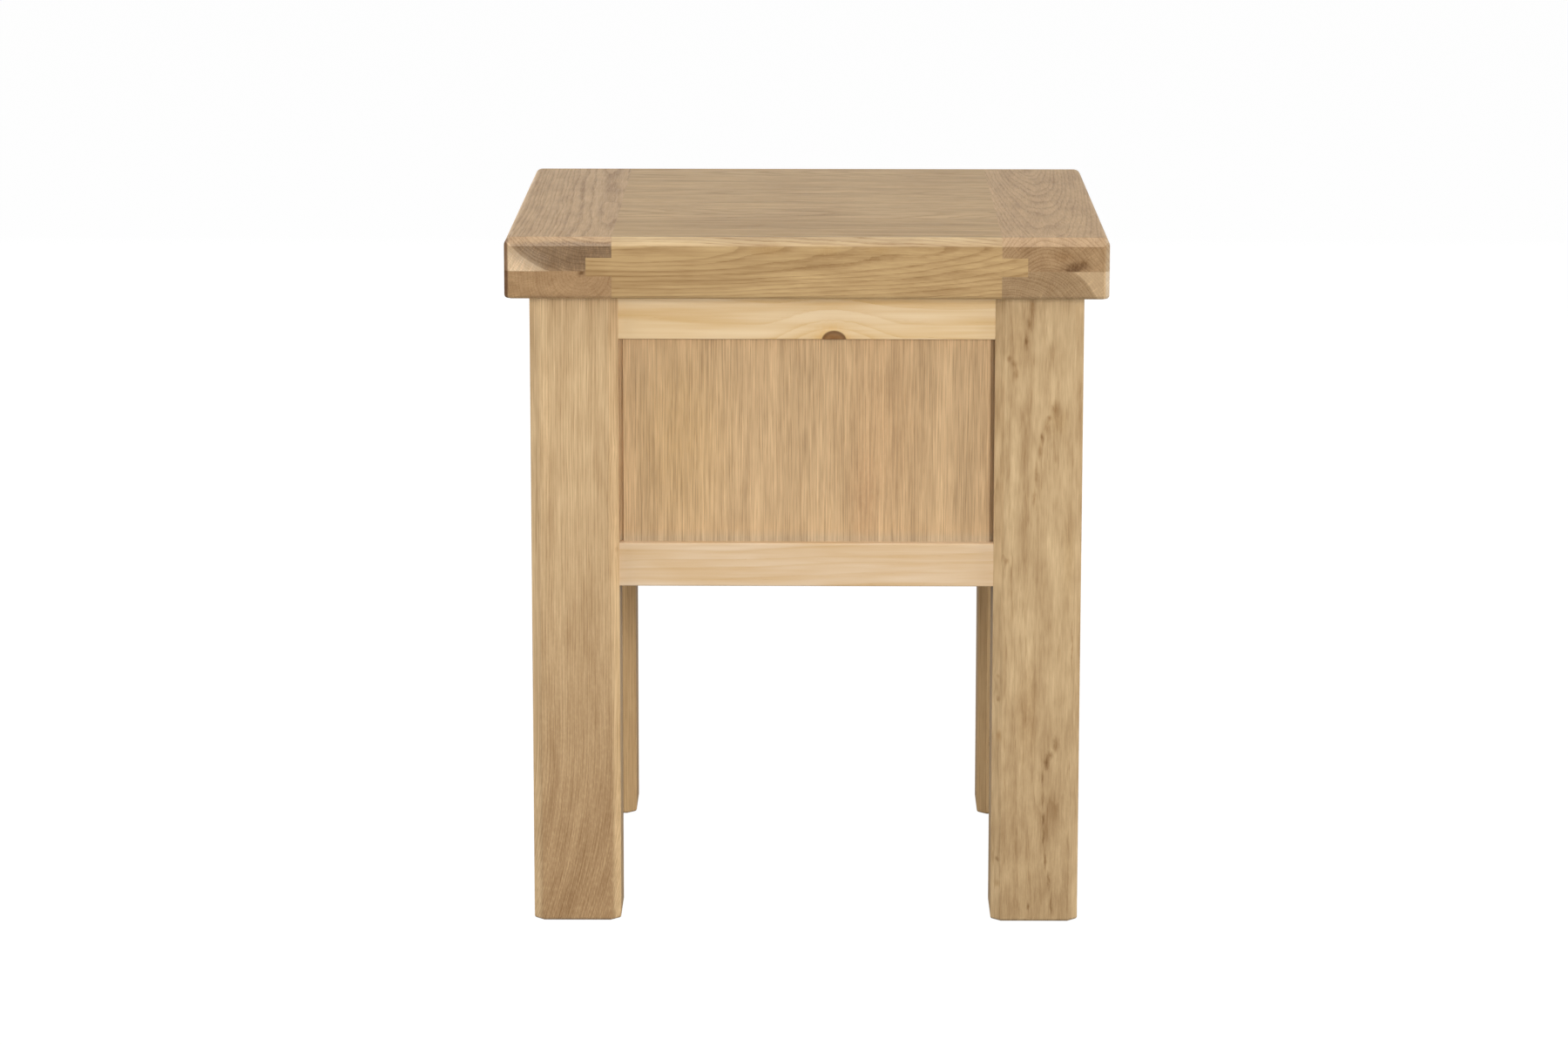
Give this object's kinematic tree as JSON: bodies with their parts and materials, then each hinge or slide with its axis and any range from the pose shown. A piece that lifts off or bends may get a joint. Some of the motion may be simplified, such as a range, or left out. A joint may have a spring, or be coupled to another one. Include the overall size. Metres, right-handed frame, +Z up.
{
  "type": "side table with drawer",
  "caption": "Chunky oak side table: thick breadboard-ended top on square legs, panelled sides and back, and an inset dovetailed drawer that slides out of the front.",
  "frame": {"origin": "on the floor under the centre of the table, at the bottom centre of its box", "axes": "+Z up; -Y is the front, the way the drawer opens; +Y is the back; +X is the right side of a person who faces the drawer"},
  "size_m": [0.468, 0.45, 0.55],
  "materials": {
    "oak_leg": "satin lacquered oak",
    "oak_rail": "satin lacquered oak",
    "oak_panel": "satin lacquered oak veneer",
    "oak_top": "satin lacquered oak",
    "oak_drawer": "satin lacquered oak",
    "pine_rail": "sealed pine",
    "pine_inner": "bare pine",
    "pine_drawer": "sealed pine",
    "plywood": "bare birch plywood",
    "steel_screw": "zinc plated"
  },
  "bodies": {
    "carcase": {"leg_back_left": "oak_leg", "leg_back_right": "oak_leg", "leg_front_left": "oak_leg", "leg_front_right": "oak_leg", "back_top_rail": "pine_rail", "back_bottom_rail": "pine_rail", "front_top_rail": "oak_rail", "front_bottom_rail": "oak_rail", "left_top_rail": "oak_rail", "left_bottom_rail": "oak_rail", "right_top_rail": "oak_rail", "right_bottom_rail": "oak_rail", "back_panel": "oak_panel", "left_panel": "oak_panel", "right_panel": "oak_panel", "top_plank_1": "oak_top", "top_plank_2": "oak_top", "top_plank_3": "oak_top", "top_plank_4": "oak_top", "top_end_left_upper": "oak_top", "top_end_left_lower": "oak_top", "top_end_right_upper": "oak_top", "top_end_right_lower": "oak_top", "runner_left": "pine_inner", "runner_right": "pine_inner", "guide_left": "pine_inner", "guide_right": "pine_inner", "kicker_left": "pine_inner", "kicker_right": "pine_inner", "closing_stop_left": "pine_inner", "closing_stop_right": "pine_inner", "opening_stop": "pine_inner", "top_screws": "steel_screw", "guide_screws": "steel_screw", "opening_stop_screws": "steel_screw"},
    "drawer": {"drawer_front": "oak_drawer", "drawer_side_left": "pine_drawer", "drawer_side_right": "pine_drawer", "drawer_back": "pine_drawer", "drawer_bottom": "plywood", "drawer_knob": "oak_drawer", "drawer_bottom_screws": "steel_screw", "knob_screw": "steel_screw"}
  },
  "joints": [
    {"name": "drawer_slide", "type": "slide", "parent": "carcase", "child": "drawer", "axis": [0, -1, 0], "range_m": [0, 0.28]}
  ]
}
